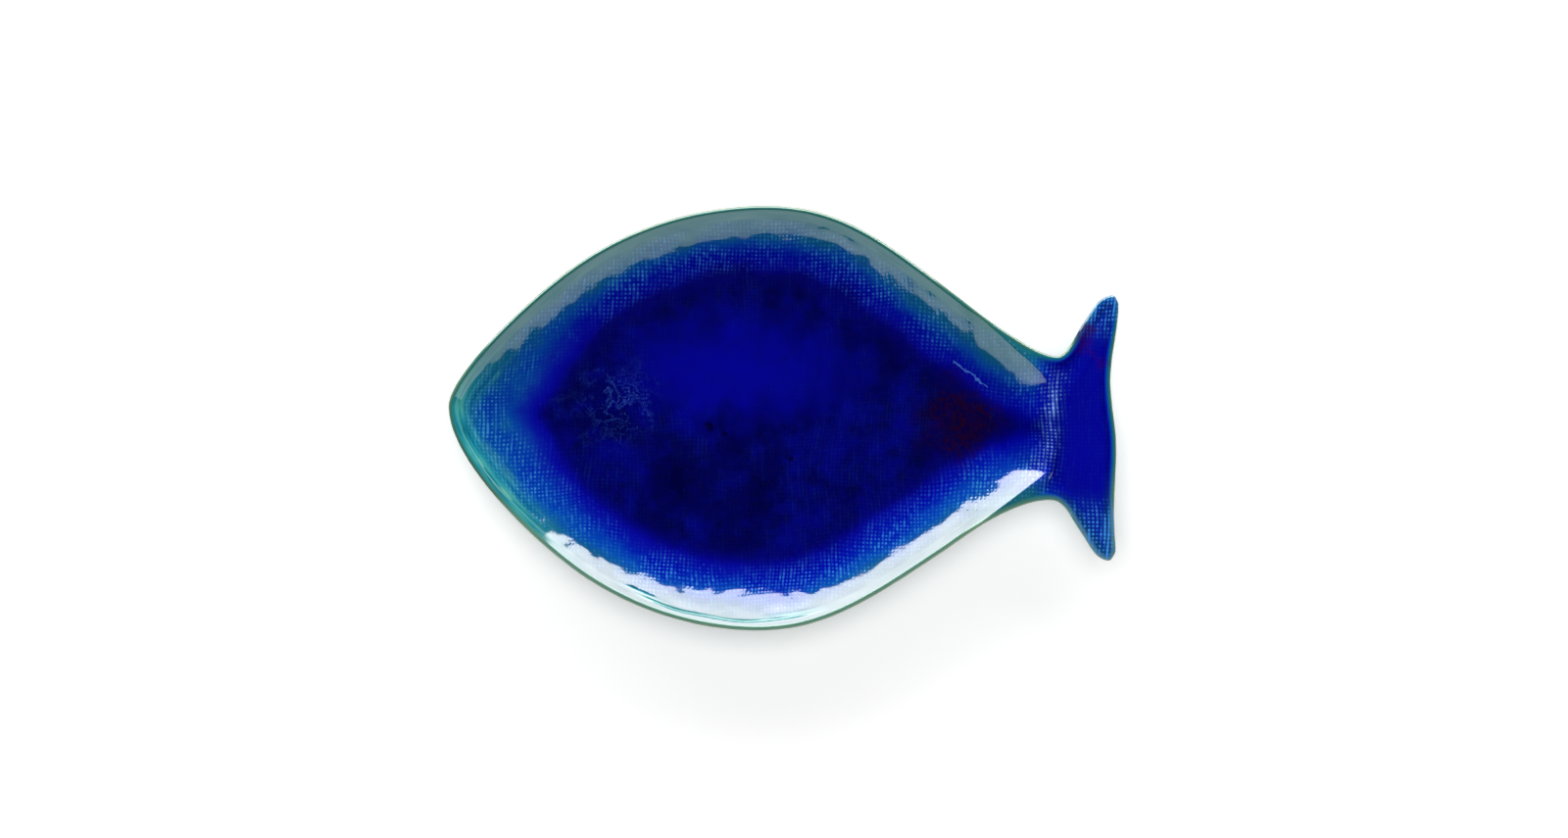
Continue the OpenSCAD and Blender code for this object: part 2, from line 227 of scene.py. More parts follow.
def fingered(inset):
    """How much the wall is thinned under the lip, where fingers drew the wet clay up to it."""
    depth, reach = 3.7 * MM, 34 * MM
    return depth * max(0.0, 1 - (inset - LIP_CREST_INSET) / reach) ** 2


def drawn_wall(inset):
    """Height of the wall once fingers have drawn it up."""
    return falling(inset) - fingered(inset)


def lip_edge(inset):
    """Height of the thin rounded edge."""
    return LIP_EDGE_HEIGHT + LIP_RISE * math.sqrt(1 - (1 - min(1.0, inset / LIP_CREST_INSET)) ** 2)


def neck_back_off(p):
    """Distance from the crest between bowl and tail, towards the bowl. The crest bows back to the flanks."""
    middle_x, bow, bow_power, widest_share, lean_share = 177 * MM, 7 * MM, 2.5, 1.3, 0.5
    aside = min(widest_share, abs(p.y - NECK_Y) / NECK_HALF)
    line = middle_x - bow * aside ** bow_power
    return (line - p.x) / math.hypot(1, lean_share * min(1.0, aside) ** (bow_power - 1))


def neck_height(p, profile):
    """Height at the neck, where the wall runs straight on past its corners to meet the slope of the crest.
    A flank is given by its distance from the middle line, its heading in degrees, and how far out the slope
    starts to turn steep."""
    crest_height, flank_x = 31.2 * MM, 145 * MM
    gentle_run, steep_run, turning, crease = 45 * MM, 40 * MM, 32 * MM, 0.7 * MM
    back_flank, belly_flank = (55 * MM, 42, 8 * MM), (47.5 * MM, 37, 16 * MM)
    aside = abs(p.y - NECK_Y)
    start, heading, steep_from = back_flank if p.y > NECK_Y else belly_flank
    heading = math.radians(heading)
    from_flank = -math.sin(heading) * (p.x - flank_x) - math.cos(heading) * (aside - start)
    from_flank = LIP_CREST_INSET + max(0.0, from_flank)
    back_off = neck_back_off(p)
    gentle = mix(crest_height, FLOOR_HEIGHT, smooth_step(0, gentle_run, back_off))
    steep = mix(FLOOR_HEIGHT, crest_height, min(1.0, max(0.0, 1 - back_off / steep_run)) ** WALL_CURVE)
    slope = mix(gentle, steep, smooth_step(steep_from, steep_from + turning, aside))
    return -least(-profile(from_flank), -slope, crease)


def tail_height(p, inset):
    """Height of the tail's hollow and the shoulder that it leaves under the lip."""
    hollow_depth, hollow_fade = 1.1 * MM, (4 * MM, 30 * MM)
    roll_start, roll_width, shoulder_fall, crease = 0.7 * MM, 5.5 * MM, 0.25, 0.3 * MM
    roll = 1 - (1 - min(1.0, max(0.0, inset - roll_start) / roll_width)) ** 2
    hollow = hollow_depth * roll * (1 - smooth_step(*hollow_fade, inset))
    shoulder = LIP_TOP - shoulder_fall * (inset - LIP_CREST_INSET)
    return -least(hollow - p.z, -shoulder, crease)


def form_upper(p, inset):
    """Height of the clay's dish side at a point of the pressed shell, and how far the neck's corner sank."""
    neck_reach, past_lip, past_edge = (112 * MM, 130 * MM), (4 * MM, 10 * MM), (3 * MM, 9 * MM)
    before_crest, over_crest, crease = (-6 * MM, 4 * MM), (-2 * MM, 4 * MM), 0.15 * MM
    at_neck = smooth_step(*neck_reach, p.x)
    wall = drawn_wall(inset) + (p.z - pressed(inset)) * smooth_step(*past_lip, inset)
    sunk = 0.0
    if at_neck > 0:
        wall = mix(wall, neck_height(p, drawn_wall), at_neck)
        kept = smooth_step(*before_crest, neck_back_off(p)) * smooth_step(*past_edge, inset)
        sunk = (p.z - min(RIM_HEIGHT, neck_height(p, pressed))) * at_neck * kept
    bowl = least(lip_edge(inset), wall, crease)
    tail = least(lip_edge(inset), tail_height(p, inset), crease)
    return mix(tail, bowl, smooth_step(*over_crest, neck_back_off(p))), sunk


def form_clay(shell, rim, above=None):
    """Forms lip, wall and neck. The outside follows the neck's corners on the dish side, which is given as
    its searchable points and how far each sank, and both are returned."""
    neck_start, blur = 105 * MM, 0.2 * MM
    upper = shell.faces.layers.int["upper"]
    depths, spots, outside = [], [], []
    for v in shell.verts:
        spot = flat(v.co)
        if any(f[upper] for f in v.link_faces):
            v.co.z, sunk = form_upper(v.co, inset_of(spot, rim))
            spots.append(spot)
            depths.append(sunk)
        elif v.co.x > neck_start:
            outside.append(v)
    above = above or (searchable(spots), depths)
    search, depths = above
    for v in outside:
        near = search.find_n(flat(v.co), 3)
        weights = [1 / (gap + blur) for _, _, gap in near]
        v.co.z -= sum(w * depths[i] for w, (_, i, _) in zip(weights, near)) / sum(weights)
    shell.normal_update()
    return above


def keep_upper(shell):
    """Keeps the dish side, up to the outermost line of the lip."""
    upper = shell.faces.layers.int["upper"]
    bmesh.ops.delete(shell, geom=[f for f in shell.faces if not f[upper]], context="FACES")


def keep_outside(shell):
    """Keeps the outside of the wall, from the outermost line of the lip down to the flat base."""
    upper = shell.faces.layers.int["upper"]
    inner = [f for f in shell.faces if f[upper] or f.calc_center_median().z < BASE_TOP]
    bmesh.ops.delete(shell, geom=inner, context="FACES")


# Pieces

def finished(shell, name, material, slot, *nodes):
    """Makes the shell a piece that rides with the platter and stands for these nodes."""
    sharp = math.radians(40)
    low, high = cad_box
    for v in shell.verts:
        v.co = [min(max(c, a), b) for c, a, b in zip(v.co, low, high)]
    mesh = bpy.data.meshes.new(name)
    shell.to_mesh(mesh)
    shell.free()
    for polygon in mesh.polygons:
        polygon.use_smooth = True
    mesh.set_sharp_from_angle(angle=sharp)
    mesh.materials.clear()
    mesh.materials.append(material)
    piece = bpy.data.objects.new(name, mesh)
    bpy.context.scene.collection.objects.link(piece)
    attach(piece, "root")
    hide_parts(*nodes)
    return piece


def clay_body():
    """The pressed clay, into which the upper glaze has eaten a little, its rim line, and what form_clay
    returns."""
    eaten, fade = 0.2 * MM, (0.4 * MM, 4 * MM)
    shell = smoothed(shell_of_quads("clay_body"), "body", 2)
    rim = rim_line(shell)
    above = form_clay(shell, rim)
    upper = shell.faces.layers.int["upper"]
    for v in shell.verts:
        if any(f[upper] for f in v.link_faces):
            v.co.z -= eaten * smooth_step(*fade, inset_of(v.co, rim))
    shell.normal_update()
    return shell, rim, above


def tailness(p):
    """0 in the bowl, 1 past the crest at the neck."""
    bow_share, bow_reach, before, behind = 0.12, 46 * MM, 14 * MM, 12 * MM
    line = CREST_X - bow_share * (p.y - NECK_Y) ** 2 / bow_reach
    return smooth_step(line - before, line + behind, p.x)


def crestness(p):
    """1 along the crest between bowl and tail, and 0 a little way off it."""
    middle_x, width, patch, reach = 171 * MM, 7 * MM, 9 * MM, 20 * MM
    lean = 2 * MM if p.y > NECK_Y else -4 * MM
    line = middle_x + lean * ((p.y - NECK_Y) / reach) ** 2
    patchy = 0.7 + 0.6 * wander(p, patch, 8)
    return patchy * math.exp(-((p.x - line) / width) ** 2)


def coat_of(p, normal, inset):
    """Thickness of the upper glaze: nothing at the lip's edge, then more and more towards the wall."""
    bare, broad, narrow, wall_inset, turned_up = -0.12 * MM, 9 * MM, 2.5 * MM, 20 * MM, (-0.12, 0.62)
    if inset < LIP_CREST_INSET:
        breaking = wander(p, broad, 1) * 0.10 + wander(p, narrow, 2) * 0.05
        return mix(bare, COAT_OVER_LIP, smooth_step(*turned_up, normal.z + breaking))
    return mix(COAT_OVER_LIP, UPPER_COAT, smooth_step(LIP_CREST_INSET, wall_inset, inset))


def furrow(p, inset):
    """Depth of the furrows that a finger left under the lip of the belly: a long one, and two short and
    shallower ones beside its ends."""
    middle, wave, wave_size, apart = 6.2 * MM, 1.1 * MM, 30 * MM, 2 * MM
    long_half, long_start, long_end = 0.9 * MM, (-102 * MM, -80 * MM), (4 * MM, 34 * MM)
    short_half, shallower = 0.8 * MM, 0.26 / 0.3
    spots = ((-90 * MM, 20 * MM), (4 * MM, 24 * MM))
    line = middle + wave * wander(p, wave_size, 11)
    long = math.exp(-((inset - line) / long_half) ** 2)
    long *= smooth_step(*long_start, p.x) * (1 - smooth_step(*long_end, p.x))
    short = math.exp(-((inset - line - apart) / short_half) ** 2)
    short *= sum(max(0.0, 1 - abs(p.x - x) / reach) for x, reach in spots)
    return FURROW_DEPTH * (long + shallower * short)


def flooding(depth):
    """How far the glaze that fills the well lifts a surface which lies this deep under its level."""
    soft = 0.9 * MM
    return soft * math.log1p(math.exp(max(-30.0, min(30.0, depth / soft))))


def lay_upper_glaze(top, rim):
    """Lifts the surface by the glaze, its pools, furrows and ripples, and notes what the patterns follow."""
    ripple_height, ripple_size = 0.16 * MM, 8.5 * MM
    dimple_height, dimple_size = 0.03 * MM, 3.6 * MM
    swell_height, swell_size = 0.3 * MM, 40 * MM
    even_share, even_reach, past_lip = 0.4, (10 * MM, 50 * MM), (3 * MM, 9 * MM)
    well_end, pool_wave, pool_size, pool_edge = 150 * MM, 0.05 * MM, 26 * MM, 0.8 * MM
    tail_pool, tail_fade, crest_fade = 0.8 * MM, (5 * MM, 26 * MM), (6 * MM, 14 * MM)
    layers = [top.verts.layers.float.new(name) for name in NOTES]
    moves = []
    for v in top.verts:
        p, n = v.co.copy(), v.normal.copy()
        belly = p.y < 0
        inset = inset_of(p, rim)
        tail = tailness(p)
        coat = coat_of(p, n, inset)
        even = even_share * smooth_step(*even_reach, p.x) if belly else 0.0
        groove = furrow(p, inset) if belly else 0.0
        ripple = smooth_step(*past_lip, inset) * (
            ripple_height * (1 - even) * wander(p, ripple_size, 3)
            + dimple_height * wander(p, dimple_size, 4)
            + swell_height * wander(p, swell_size, 5)
        )
        glazed = p + n * (coat + ripple - groove)
        if p.x < well_end:
            depth = POOL_LEVEL - glazed.z
            drowned = 1 - math.exp(-max(0.0, depth) / pool_edge)
            glazed.z += flooding(depth)
            glazed.z += pool_wave * wander(p, pool_size, 7) * drowned
        glazed.z += tail_pool * tail * smooth_step(*tail_fade, inset)
        moves.append(glazed)
        crest = crestness(p) * smooth_step(*crest_fade, inset)
        notes = (inset / MM, tail, coat / MM, crest, min(1.0, groove / FURROW_DEPTH))
        for layer, note in zip(layers, notes):
            v[layer] = note
    for v, glazed in zip(top.verts, moves):
        v.co = glazed


def upper_glaze(rim):
    """The skin of glaze over the dish side: its glossy top, and an underside that lies sunk in the clay."""
    skins = []
    for name, levels in (("upper", 3), ("lower", 1)):
        skin = smoothed(shell_of_quads("clay_body"), name, levels)
        keep_upper(skin)
        form_clay(skin, rim)
        skins.append(skin)
    top, bottom = skins
    for v, n in [(v, v.normal.copy()) for v in bottom.verts]:
        v.co -= n * SUNK_INTO_CLAY
    bmesh.ops.reverse_faces(bottom, faces=bottom.faces)
    lay_upper_glaze(top, rim)
    sheet = bpy.data.meshes.new("bottom")
    bottom.to_mesh(sheet)
    bottom.free()
    top.from_mesh(sheet)
    rims = [e for e in top.edges if len(e.link_faces) == 1]
    bmesh.ops.bridge_loops(top, edges=rims)
    return top


def outer_glaze(rim, above):
    """The coat on the outside, from the lip's edge to the end of the wall. It thins out at both."""
    bare, lip_fade, foot_fade = -0.08 * MM, (29 * MM, 25.5 * MM), (3.1 * MM, 4.2 * MM)
    sheet = smoothed(shell_of_quads("clay_body"), "outside", 2)
    keep_outside(sheet)
    form_clay(sheet, rim, above)
    for v, n in [(v, v.normal.copy()) for v in sheet.verts]:
        covered = min(smooth_step(*lip_fade, v.co.z), smooth_step(*foot_fade, v.co.z))
        v.co += n * mix(bare, OUTER_COAT, covered)
    bmesh.ops.solidify(sheet, geom=sheet.faces[:], thickness=SUNK_INTO_CLAY)
    return sheet


def cad_softened(node, width):
    """A flat pressed or trimmed piece with its long edges rubbed round."""
    height_within, straight = 0.05 * MM, math.radians(0.5)
    shell = bmesh.new()
    shell.from_mesh(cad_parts[node].data)
    bmesh.ops.remove_doubles(shell, verts=shell.verts, dist=MERGE)
    bmesh.ops.dissolve_limit(shell, angle_limit=straight, verts=shell.verts, edges=shell.edges)
    low = min(v.co.z for v in shell.verts)
    edges = [e for e in shell.edges if all(v.co.z < low + height_within for v in e.verts)]
    bmesh.ops.bevel(
        shell, geom=edges, offset=width, offset_type="OFFSET", affect="EDGES", segments=3, profile=0.5,
        material=-1, clamp_overlap=True,
    )
    return shell


# Finishes

def linear(code):
    """A linear colour from an sRGB hex code."""
    parts = [int(code[i:i + 2], 16) / 255 for i in (0, 2, 4)]
    return tuple(c / 12.92 if c <= 0.04045 else ((c + 0.055) / 1.055) ** 2.4 for c in parts) + (1.0,)


def add(tree, kind, inputs=(), stops=(), span=(), **settings):
    """Adds a node with its settings, gives each input a value or a link, and returns its outputs. The stops
    of a colour ramp are in order. The span of a map range is where it starts and ends, and then its values
    there if they aren't 0 and 1."""
    node = tree.nodes.new("ShaderNode" + kind)
    for name, value in settings.items():
        setattr(node, name, value)
    for name, value in [*dict(inputs).items(), *zip(("From Min", "From Max", "To Min", "To Max"), span)]:
        if isinstance(value, bpy.types.NodeSocket):
            tree.links.new(value, node.inputs[name])
        else:
            node.inputs[name].default_value = value
    for i, (place, code) in enumerate([*stops[:1], *stops[-1:], *stops[1:-1]]):
        stop = node.color_ramp.elements[i] if i < 2 else node.color_ramp.elements.new(place)
        stop.position, stop.color = place, linear(code)
    return node.outputs


def new_material(name):
    material = bpy.data.materials.new(name)
    material.use_nodes = True
    material.node_tree.nodes.clear()
    return material, material.node_tree


def oval(tree, place, x, y, across, along):
    """1 in the middle of an oval and 0 from its edge outwards. Its middle and half sizes are in mm."""
    sizes = (1 / (across * MM), 1 / (along * MM), 0)
    moved = add(tree, "VectorMath", {0: place, 1: (x * MM, y * MM, 0)}, operation="SUBTRACT")[0]
    scaled = add(tree, "VectorMath", {0: moved, 1: sizes}, operation="MULTIPLY")[0]
    far = add(tree, "VectorMath", {0: scaled}, operation="LENGTH")["Value"]
    return add(tree, "MapRange", {"Value": far}, span=(0, 1, 1, 0), interpolation_type="SMOOTHSTEP")[0]


def strayed(tree, place, size, by, detail):
    """The place, moved aside unevenly by up to half of by, in patches of about this size."""
    stray = add(tree, "TexNoise", {"Vector": place, "Scale": 1 / size, "Detail": detail})["Color"]
    stray = add(tree, "VectorMath", {0: stray, 1: (0.5, 0.5, 0.5)}, operation="SUBTRACT")[0]
    return add(tree, "VectorMath", {0: stray, 1: (by, by, 0), 2: place}, operation="MULTIPLY_ADD")[0]


def noted(tree):
    """Where a point is and what the mesh of the upper glaze notes there."""
    at = {name: add(tree, "Attribute", attribute_name=name)["Fac"] for name in NOTES}
    at["place"] = add(tree, "TexCoord")["Object"]
    split = add(tree, "SeparateXYZ", {0: at["place"]})
    at["x"], at["y"] = split["X"], split["Y"]
    at["aside"] = add(tree, "Math", {0: at["y"]}, operation="ABSOLUTE")[0]
    return at


def linen(tree, at):
    """Relief of the linen's imprint: two sets of threads, which print most where they cross."""
    pull_size, pull, sharpness = 70 * MM, 16 * MM, 1.4
    slub_stretch, slub_span, luck_span = (1.0, 0.16, 1.0), (0.5, 0.68, 0, 0.6), (0, 1, 0.15, 1.3)
    # The cloth was pulled a little out of square as the slab was pressed over it
    cloth = strayed(tree, at["place"], pull_size, pull, 1.0)
    threads = add(tree, "VectorMath", {0: cloth, "Scale": 1 / THREAD}, operation="SCALE")[0]
    split = add(tree, "SeparateXYZ", {0: threads})
    ridges = []
    for way in ("X", "Y"):
        turn = add(tree, "Math", {0: split[way], 1: 2 * math.pi}, operation="MULTIPLY")[0]
        wave = add(tree, "Math", {0: turn}, operation="COSINE")[0]
        ridges.append(add(tree, "Math", {0: wave, 1: 0.5, 2: 0.5}, operation="MULTIPLY_ADD")[0])
    knots = add(tree, "Math", {0: ridges[0], 1: ridges[1]}, operation="MULTIPLY")[0]
    knots = add(tree, "Math", {0: knots, 1: sharpness}, operation="POWER")[0]
    # Slubs are threads that stand out for a few centimetres
    strand = add(tree, "VectorMath", {0: threads, 1: slub_stretch}, operation="MULTIPLY")[0]
    slub = add(tree, "TexNoise", {"Vector": strand, "Scale": 1.0, "Detail": 1.0})["Fac"]
    slub = add(tree, "MapRange", {"Value": slub}, span=slub_span)[0]
    slub = add(tree, "Math", {0: slub, 1: ridges[0]}, operation="MULTIPLY")[0]
    # No two crossings of the threads printed alike
    crossing = add(tree, "VectorMath", {0: threads, 1: (0.5, 0.5, 0.5)}, operation="ADD")[0]
    crossing = add(tree, "VectorMath", {0: crossing}, operation="FLOOR")[0]
    luck = add(tree, "TexWhiteNoise", {"Vector": crossing}, noise_dimensions="2D")["Value"]
    luck = add(tree, "MapRange", {"Value": luck}, span=luck_span)[0]
    return add(tree, "Math", {0: knots, 1: luck, 2: slub}, operation="MULTIPLY_ADD")[0]


def imprint_shown(tree, at):
    """Share of the imprint that shows. The glaze drowns it on the lip and towards the well. On the tail it
    shows only at the tips. It is strong over the neck's crest and back flank, where the glaze ran off."""
    patch, patch_span = 26 * MM, (0.36, 0.6, 0.12)
    neck_span, lip_span, well_span = (112 * MM, 138 * MM, 0, 4.5), (7, 10), (26, 42, 1, 0.04)
    tip_span, back_flank = (50 * MM, 70 * MM, 0.04, 2), (158, 27, 26, 20)
    shown = add(tree, "TexNoise", {"Vector": at["place"], "Scale": 1 / patch, "Detail": 3.0})["Fac"]
    shown = add(tree, "MapRange", {"Value": shown}, span=patch_span)[0]
    nearer = add(tree, "MapRange", {"Value": at["x"]}, span=neck_span)[0]
    past_lip = add(tree, "Math", {0: at["inset"], 1: nearer}, operation="ADD")[0]
    past_lip = add(tree, "MapRange", {"Value": past_lip}, span=lip_span)[0]
    afloat = add(tree, "MapRange", {"Value": at["inset"]}, span=well_span)[0]
    for share in (past_lip, afloat):
        shown = add(tree, "Math", {0: shown, 1: share}, operation="MULTIPLY")[0]
    tip = add(tree, "MapRange", {"Value": at["aside"]}, span=tip_span)[0]
    shown = add(tree, "Mix", {0: at["tail"], 2: shown, 3: tip})[0]
    flank = oval(tree, at["place"], *back_flank)
    flank = add(tree, "Math", {0: flank, 1: past_lip}, operation="MULTIPLY")[0]
    for strong in (at["crest"], flank):
        shown = add(tree, "Math", {0: shown, 1: strong}, operation="MAXIMUM")[0]
    return shown


def distance_inwards(tree, at):
    """The inset in mm, less towards the nose, where the glaze ran a shorter way."""
    nose_span, wall_span = (-165 * MM, -118 * MM, -13, 0), (20, 36)
    held = add(tree, "MapRange", {"Value": at["x"]}, span=nose_span)[0]
    past_wall = add(tree, "MapRange", {"Value": at["inset"]}, span=wall_span)[0]
    return add(tree, "Math", {0: held, 1: past_wall, 2: at["inset"]}, operation="MULTIPLY_ADD")[0]


def glaze_run(tree, at, inwards, weave, shown):
    """How far the glaze has run, as a share of its longest way down the wall. It is uneven, slower on the
    back's side and quick in the tail. Distances are in mm, as inset is noted."""
    flow_size, longest, over_thread, between = 34 * MM, 70, -16, 5.5
    lip_bare, tail_quickness, tail_run = 1.2, 12, 42
    free_span, back_span, slow_span, wall_span = (5, 22, 1.5, 22), (0, 60 * MM), (19, 30, 4, -5), (8, 16)
    flow = add(tree, "TexNoise", {"Vector": at["place"], "Scale": 1 / flow_size, "Detail": 4.0,
                                  "Roughness": 0.6})["Fac"]
    flow = add(tree, "Math", {0: flow, 1: 0.5}, operation="SUBTRACT")[0]
    free = add(tree, "MapRange", {"Value": at["inset"]}, span=free_span)[0]
    uneven = add(tree, "Math", {0: flow, 1: free, 2: inwards}, operation="MULTIPLY_ADD")[0]
    on_back = add(tree, "MapRange", {"Value": at["y"]}, span=back_span)[0]
    slower = add(tree, "MapRange", {"Value": at["inset"]}, span=slow_span)[0]
    on_wall = add(tree, "MapRange", {"Value": at["inset"]}, span=wall_span)[0]
    slower = add(tree, "Math", {0: slower, 1: on_wall}, operation="MULTIPLY")[0]
    slower = add(tree, "Math", {0: on_back, 1: slower}, operation="MULTIPLY")[0]
    uneven = add(tree, "Math", {0: uneven, 1: slower}, operation="SUBTRACT")[0]
    past_edge = add(tree, "Math", {0: at["inset"], 1: lip_bare}, operation="SUBTRACT")[0]
    past_edge = add(tree, "Math", {0: past_edge, 1: 0.0}, operation="MAXIMUM")[0]
    quick = add(tree, "Math", {0: past_edge, 1: tail_quickness}, operation="MULTIPLY")[0]
    quick = add(tree, "Math", {0: quick, 1: tail_run}, operation="MINIMUM")[0]
    run = add(tree, "Math", {0: quick, 1: at["tail"], 2: uneven}, operation="MULTIPLY_ADD")[0]
    # It runs off the threads' print, and between the threads it lies deeper than on the smooth wall
    run = add(tree, "Math", {0: weave, 1: over_thread, 2: run}, operation="MULTIPLY_ADD")[0]
    run = add(tree, "Math", {0: shown, 1: between, 2: run}, operation="MULTIPLY_ADD")[0]
    return add(tree, "Math", {0: run, 1: longest}, operation="DIVIDE")[0]


def wall_tones(tree, at, run):
    """Colour of lip and wall, olive over the edge, then turquoise, then ultramarine as the glaze deepens,
    and a mask that is 0 on the edge and 1 inside it."""
    tones = [
        (0.0, "75704E"), (0.01, "547E62"), (0.02, "306E66"), (0.034, "1E6668"), (0.055, "186C7A"),
        (0.11, "126678"), (0.16, "0C5E7C"), (0.21, "0A5684"), (0.27, "084C94"), (0.33, "0442A0"),
        (0.39, "03309E"), (0.44, "021E9C"), (0.5, "010C9A"), (0.56, "010296"), (0.62, "010086"),
        (0.68, "01006C"), (1.0, "01005C"),
    ]
    turquoise = [(0.36, "0C6478"), (0.5, "2490A0"), (0.66, "58B4A0")]
    streak_length, streaks_per_mm = 34 * MM, 0.42
    nose_span, thin_span, inside_span = (-200 * MM, -135 * MM, 1, 0), (0.08, 0.34, 1, 0), (1.6, 3.6)
    back_span, highlight_line_span = (50 * MM, 10 * MM), (15 * MM, -25 * MM, 0, 0.45)
    highlight_line_inset, highlight_line_wave, highlight_line_half = 2.9, 5, 0.55
    wall = add(tree, "ValToRGB", {"Fac": run}, tones)["Color"]
    inside = add(tree, "MapRange", {"Value": at["inset"]}, span=inside_span)[0]
    # At the nose it lies lightest, a clear turquoise drawn out along the rim. Below it, on the lower side, a
    # pale line is a painted highlight along the lip's inner shoulder
    nose = add(tree, "MapRange", {"Value": at["x"]}, span=nose_span)[0]
    below_back = add(tree, "MapRange", {"Value": at["y"]}, span=back_span)[0]
    for share in (inside, below_back):
        nose = add(tree, "Math", {0: nose, 1: share}, operation="MULTIPLY")[0]
    streak = add(tree, "VectorMath", {0: at["place"], "Scale": 1 / streak_length}, operation="SCALE")[0]
    across = add(tree, "CombineXYZ", {2: at["inset"]})[0]
    streak = add(tree, "VectorMath", {0: across, 1: (0, 0, streaks_per_mm), 2: streak},
                 operation="MULTIPLY_ADD")[0]
    streak = add(tree, "TexNoise", {"Vector": streak, "Scale": 1.0, "Detail": 3.0})["Fac"]
    drawn = add(tree, "ValToRGB", {"Fac": streak}, turquoise)["Color"]
    thin = add(tree, "MapRange", {"Value": run}, span=thin_span)[0]
    thin = add(tree, "Math", {0: nose, 1: thin}, operation="MULTIPLY")[0]
    wall = add(tree, "Mix", {0: thin, 6: wall, 7: drawn}, data_type="RGBA")[2]
    # Painted highlight: a pale wavy line along the lip's inner shoulder, on the nose's lower side
    painted_highlight_line = add(tree, "Math", {0: streak, 1: highlight_line_wave, 2: highlight_line_inset}, operation="MULTIPLY_ADD")[0]
    painted_highlight_line = add(tree, "Math", {0: at["inset"], 1: painted_highlight_line, 2: highlight_line_half}, operation="COMPARE")[0]
    low_side = add(tree, "MapRange", {"Value": at["y"]}, span=highlight_line_span)[0]
    for share in (nose, low_side):
        painted_highlight_line = add(tree, "Math", {0: painted_highlight_line, 1: share}, operation="MULTIPLY")[0]
    return add(tree, "Mix", {0: painted_highlight_line, 6: wall, 7: linear("94D0B4")}, data_type="RGBA")[2], inside


def belly_painted_light_and_furrow(tree, at, wall, inside):
    """Below the belly's lip the wall is darkened as painted shade, its edge there is lightened as painted
    light, and a finger's furrow is filled with clear turquoise."""
    belly_span, lip_span, nose_span = (-30 * MM, -70 * MM), (10, 20, 1, 0), (-150 * MM, -120 * MM)
    # Painted shade: the belly's wall under the lip is darkened, against the window's light on that side
    painted_shade = add(tree, "MapRange", {"Value": at["y"]}, span=belly_span + (0, 0.55))[0]
    by_lip = add(tree, "MapRange", {"Value": at["inset"]}, span=lip_span)[0]
    by_lip = add(tree, "Math", {0: by_lip, 1: inside}, operation="MULTIPLY")[0]
    not_nose = add(tree, "MapRange", {"Value": at["x"]}, span=nose_span)[0]
    for share in (by_lip, not_nose):
        painted_shade = add(tree, "Math", {0: painted_shade, 1: share}, operation="MULTIPLY")[0]
    # Painted light: the belly's edge is lightened, as the side turned to the light
    pale = add(tree, "MapRange", {"Value": at["y"]}, span=belly_span + (0, 0.5))[0]
    on_edge = add(tree, "Math", {0: 1.0, 1: inside}, operation="SUBTRACT")[0]
    pale = add(tree, "Math", {0: pale, 1: on_edge}, operation="MULTIPLY")[0]
    for share, code in ((painted_shade, "0C3C44"), (pale, "78A484"), (at["furrow"], "269292")):
        wall = add(tree, "Mix", {0: share, 6: wall, 7: linear(code)}, data_type="RGBA")[2]
    return wall


def flooded(tree, at, wall, inwards, weave):
    """The flooded well, ultramarine and mottled where the cobalt settled unevenly, and the tail. The threads
    are printed pale over both. On the crest the blue is brightened as painted light, and the threads there
    are whitened as painted glints."""
    mottle_size, well_span = 24 * MM, (40, 54)
    tail_span, tip_span = (4, 8), (44 * MM, 88 * MM, 0, 0.25)
    cobalt = [(0.32, "00003A"), (0.48, "000050"), (0.66, "000074")]
    mottle = add(tree, "TexNoise", {"Vector": at["place"], "Scale": 1 / mottle_size, "Detail": 6.0,
                                    "Roughness": 0.62})["Fac"]
    deep = add(tree, "ValToRGB", {"Fac": mottle}, cobalt)["Color"]
    in_well = add(tree, "MapRange", {"Value": inwards}, span=well_span)[0]
    bowl = add(tree, "Mix", {0: in_well, 6: wall, 7: deep}, data_type="RGBA")[2]
    off_crest = add(tree, "Math", {0: 1.0, 1: at["crest"]}, operation="SUBTRACT", use_clamp=True)[0]
    in_tail = add(tree, "MapRange", {"Value": at["inset"]}, span=tail_span)[0]
    for share in (at["tail"], off_crest):
        in_tail = add(tree, "Math", {0: in_tail, 1: share}, operation="MULTIPLY")[0]
    tips = add(tree, "MapRange", {"Value": at["aside"]}, span=tip_span)[0]
    tips = add(tree, "Math", {0: tips, 1: at["tail"]}, operation="MULTIPLY")[0]
    # Painted light: the blue over the crest is brightened
    crest_painted_light = add(tree, "Math", {0: at["crest"], 1: 0.65}, operation="MULTIPLY", use_clamp=True)[0]
    raised = add(tree, "Math", {0: weave, 1: 0.6}, operation="MULTIPLY", use_clamp=True)[0]
    # Painted glints: the thread tops on the crest are whitened
    crest_painted_glints = add(tree, "Math", {0: weave, 1: at["crest"]}, operation="MULTIPLY", use_clamp=True)[0]
    crest_painted_glints = add(tree, "Math", {0: crest_painted_glints, 1: 0.6}, operation="MULTIPLY")[0]
    layers = [(in_tail, "000094"), (crest_painted_light, "0416A8"), (tips, "0C5A84"), (raised, "3C8CE0"),
              (crest_painted_glints, "9CBCF0")]
    for share, code in layers:
        bowl = add(tree, "Mix", {0: share, 6: bowl, 7: linear(code)}, data_type="RGBA")[2]
    return bowl


